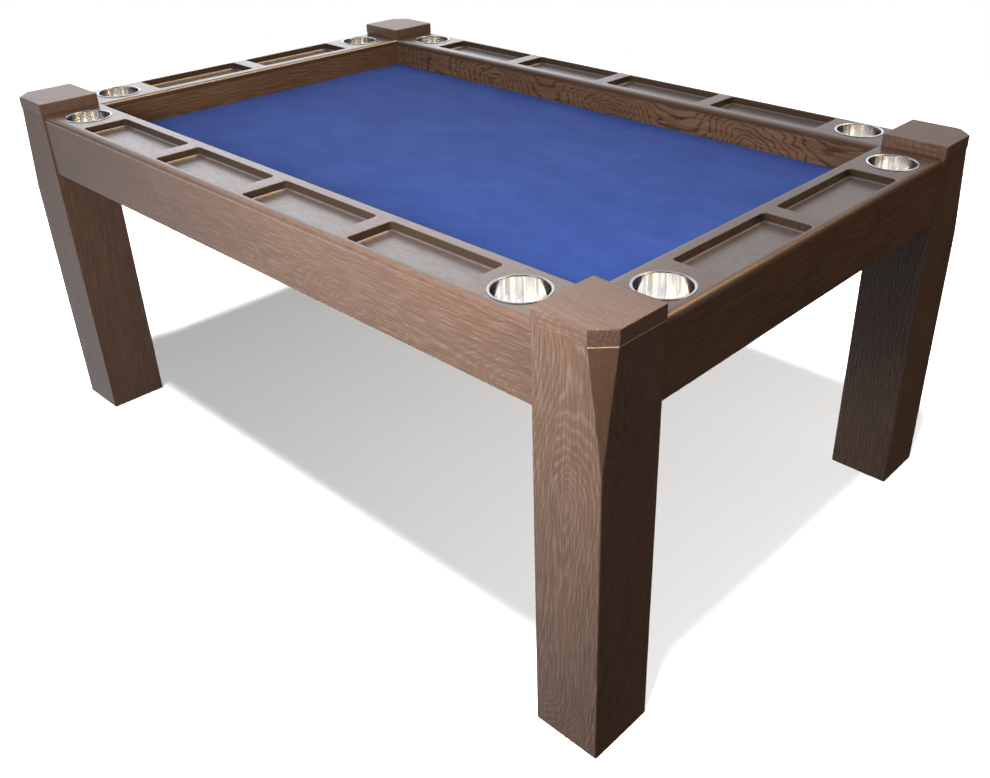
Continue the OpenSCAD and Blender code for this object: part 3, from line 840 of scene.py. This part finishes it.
def floor():
    """Pale disc under the table. Only the camera sees it, so it neither lights the table nor shows in its
    gloss."""
    mesh = bpy.data.meshes.new("floor")
    dull_shaded_rim = [turned(360 * i / FLOOR_STEPS) @ Vector((FLOOR_REACH, 0, 0)) + FLOOR_MIDDLE
           for i in range(FLOOR_STEPS)]
    mesh.from_pydata(dull_shaded_rim, [], [tuple(range(FLOOR_STEPS))])
    piece = bpy.data.objects.new("floor", mesh)
    scene.collection.objects.link(piece)
    f = Finish("pale_floor", Roughness=0.9)
    place = f.add("TexCoord", {}, out=3)
    tone = f.noise(f.scaled(place, (1.5, 1.5, 1.5)), detail=2.0)
    mesh.materials.append(f.done(**{"Base Color": f.mix(tone, (0.90, 0.90, 0.90), (0.93, 0.93, 0.93))}))
    piece.visible_diffuse = False
    piece.visible_glossy = False


COOL, GOLD = (0.98, 0.985, 1.03), (1.0, 0.64, 0.30)
# Each glow: where it comes from, the cosines between which it fades in, its strength and its colour.
GLOWS = [((0, 0, 1), 0.30, 0.95, 0.4, COOL),
         ((-0.85, 0.47, 0.36), 0.89, 0.985, 1.15, COOL),
         ((-0.80, 0.50, 0.30), 0.40, 0.95, 0.8, COOL),
         ((-0.60, -0.35, 0.70), 0.75, 0.98, 0.5, COOL),
         ((-0.70, -0.53, -0.47), 0.86, 0.99, 1.6, COOL),
         ((0.85, 0.35, -0.40), 0.90, 0.99, 0.5, COOL),
         ((0.65, -0.60, -0.45), 0.90, 0.99, 0.6, COOL),
         ((0.34, 0.47, 0.81), 0.93, 0.985, 13.0, GOLD)]


def surroundings():
    """Soft glows round the table, which only its gloss mirrors, and plain white to the camera."""
    world = bpy.data.worlds.new("studio")
    scene.world = world
    world.cycles_visibility.diffuse = False
    world.use_nodes = True
    nodes, links = world.node_tree.nodes, world.node_tree.links
    nodes.clear()
    direction = nodes.new("ShaderNodeTexCoord").outputs["Generated"]
    total = None
    for aim, start, full, strength, colour in GLOWS:
        dot = nodes.new("ShaderNodeVectorMath")
        dot.operation = "DOT_PRODUCT"
        links.new(direction, dot.inputs[0])
        dot.inputs[1].default_value = Vector(aim).normalized()
        fade = nodes.new("ShaderNodeMapRange")
        fade.interpolation_type = "SMOOTHSTEP"
        links.new(dot.outputs["Value"], fade.inputs["Value"])
        fade.inputs["From Min"].default_value = start
        fade.inputs["From Max"].default_value = full
        fade.inputs["To Max"].default_value = strength
        glow = nodes.new("ShaderNodeVectorMath")
        glow.operation = "SCALE"
        glow.inputs[0].default_value = colour
        links.new(fade.outputs[0], glow.inputs["Scale"])
        if total is None:
            total = glow.outputs[0]
        else:
            add = nodes.new("ShaderNodeVectorMath")
            links.new(total, add.inputs[0])
            links.new(glow.outputs[0], add.inputs[1])
            total = add.outputs[0]
    light = nodes.new("ShaderNodeBackground")
    links.new(total, light.inputs["Color"])
    backdrop = nodes.new("ShaderNodeBackground")
    backdrop.inputs["Color"].default_value = (1, 1, 1, 1)
    camera_ray = nodes.new("ShaderNodeLightPath").outputs["Is Camera Ray"]
    choose = nodes.new("ShaderNodeMixShader")
    links.new(camera_ray, choose.inputs[0])
    links.new(light.outputs[0], choose.inputs[1])
    links.new(backdrop.outputs[0], choose.inputs[2])
    output = nodes.new("ShaderNodeOutputWorld")
    links.new(choose.outputs[0], output.inputs["Surface"])


WARM_WHITE, LATE_SUN = (1.0, 0.97, 0.93), (1.0, 0.72, 0.42)


def place_light(name, kind, place, aim, energy, lit, colour=(1, 1, 1), size=(1, 1), spread=0,
                shadow=True, mirrored=False):
    """Lamp that lights only the table, the floor or the cups. Its image shows in them if mirrored."""
    light = bpy.data.lights.new(name, kind)
    light.energy = energy
    light.color = colour
    light.use_shadow = shadow
    if kind == "AREA":
        light.shape = "RECTANGLE"
        light.size, light.size_y = size
    elif kind == "SUN":
        light.angle = math.radians(spread)
    lamp = bpy.data.objects.new(name, light)
    scene.collection.objects.link(lamp)
    lamp.visible_glossy = mirrored
    lamp.location = place
    lamp.rotation_euler = (Vector(aim) - Vector(place)).to_track_quat("-Z", "Y").to_euler()
    receivers = bpy.data.collections.new(f"lit_by_{name}")
    floor_piece = bpy.data.objects["floor"]
    pieces = {"cups": CUPS, "floor": [floor_piece], "table": CUPS + [floor_piece]}[lit]
    for piece in pieces:
        receivers.objects.link(piece)
    for entry in receivers.collection_objects:
        entry.light_linking.link_state = "EXCLUDE" if lit == "table" else "INCLUDE"
    lamp.light_linking.receiver_collection = receivers


STRIP_WHITE, STRIP_COOL, STRIP_GOLD = (0.96, 0.98, 1.0), (0.86, 0.92, 1.0), (1.0, 0.70, 0.36)
# Each strip: its azimuth and width in degrees, its brightness and its colour.
STRIPS = [(10, 16, 8, STRIP_WHITE), (312, 12, 6, STRIP_GOLD), (278, 24, 9, STRIP_WHITE),
          (205, 30, 6, STRIP_COOL), (343, 12, 2, STRIP_WHITE), (55, 20, 6, STRIP_WHITE),
          (150, 24, 5, STRIP_WHITE), (100, 20, 6, STRIP_WHITE), (33, 24, 2.5, STRIP_COOL),
          (77, 20, 3, STRIP_COOL), (125, 24, 2.5, STRIP_COOL), (177, 24, 3, STRIP_COOL),
          (238, 30, 1.6, STRIP_COOL), (327, 14, 1.6, STRIP_WHITE)]
STRIP_AWAY, STRIP_HEIGHT, STRIP_MIDDLE = 3.0, 3.2, 2.4
STRIP_POWER = 1.1                        # watts per square metre and step of brightness


def cup_lights():
    """Upright strips of light round the table, mirrored as bands inside the cups."""
    for i, (azimuth, width, strength, colour) in enumerate(STRIPS):
        a = math.radians(azimuth)
        across = 2 * STRIP_AWAY * math.tan(math.radians(width / 2))
        place = (STRIP_AWAY * math.cos(a), STRIP_AWAY * math.sin(a), STRIP_MIDDLE)
        energy = STRIP_POWER * strength * across * STRIP_HEIGHT
        place_light(f"strip_{i + 1}", "AREA", place, (0, 0, STRIP_MIDDLE), energy, "cups", colour,
                    (across, STRIP_HEIGHT), mirrored=True)


CAMERA_PLACE = (1.5833, -1.4486, 1.3948)
CAMERA_YAW, CAMERA_PITCH, CAMERA_ROLL = 132.769, -29.28, -0.515
CAMERA_LENS, CAMERA_SHIFT = 36.93, (-0.0529, -0.0362)


def camera():
    """Seen from beyond the front right corner, at the height of a standing person."""
    yaw, pitch, roll = (math.radians(a) for a in (CAMERA_YAW, CAMERA_PITCH, CAMERA_ROLL))
    level = math.cos(pitch)
    forward = Vector((math.cos(yaw) * level, math.sin(yaw) * level, math.sin(pitch)))
    right = forward.cross(Vector((0, 0, 1))).normalized()
    up = right.cross(forward)
    tilted_right = math.cos(roll) * right + math.sin(roll) * up
    tilted_up = math.cos(roll) * up - math.sin(roll) * right
    data = bpy.data.cameras.new("camera")
    data.sensor_width = 36
    data.lens = CAMERA_LENS
    data.shift_x, data.shift_y = CAMERA_SHIFT
    data.clip_start, data.clip_end = 0.05, 200
    view = bpy.data.objects.new("camera", data)
    scene.collection.objects.link(view)
    axes = Matrix((tilted_right, tilted_up, -forward)).transposed().to_4x4()
    view.matrix_world = Matrix.Translation(CAMERA_PLACE) @ axes
    scene.camera = view


# ---- the table ----

camera()
felt = soft_layer("dark_felt", FELT, 1800)
for corner in CORNERS:
    leg(corner)
    corner_cap(corner)
    foot_pad(corner, felt)
for side in SIDES:
    apron(side)
    well_wall(side)
    rail_board(side)
cup_finish = steel()
for side in SIDES:
    for _, _, cup_node in cup_places(side):
        cup(cup_node, cup_finish)
foam_piece(soft_layer("grey_foam", FOAM, 900))
cloth_piece(speed_cloth())
dress_nodes()
floor()
surroundings()
# Each lamp: its place, what it aims at, its power, what it lights, its colour and its size.
place_light("key", "AREA", (0.40, -1.50, 1.15), (0.40, -0.5, 0.60), 25, "table", WARM_WHITE, (0.6, 0.6))
place_light("corner", "AREA", (0.84, -0.85, 1.25), (0.80, -0.5, 0.78), 3.2, "table", (1.0, 0.95, 0.9),
            (0.25, 0.25))
place_light("dome", "SUN", (0, 0, 1), (0, 0, 0), 1.35, "table", (1.0, 0.98, 0.96), spread=110)
place_light("warm_side", "AREA", (3.0, 1.3, 0.9), (0.8, 0, 0.5), 9.5, "table", LATE_SUN, (2.0, 1.4))
place_light("back", "AREA", (-2.6, 2.4, 0.95), (-0.3, 0.2, 0.5), 60, "table", WARM_WHITE, (1.2, 1.2))
place_light("bounce", "AREA", (0, 0, 0.02), (0, 0, 1), 1.2, "table", WARM_WHITE, (1.3, 0.7))
place_light("sun", "AREA", (1.16, -2.33, 9.6), (0, 0, 0), 2600, "floor", size=(1.0, 1.0))
place_light("floor_fill", "POINT", (4, 0, 4), (0, 0, 0), 1140, "floor", shadow=False)
cup_lights()
scene.view_settings.view_transform = "Standard"
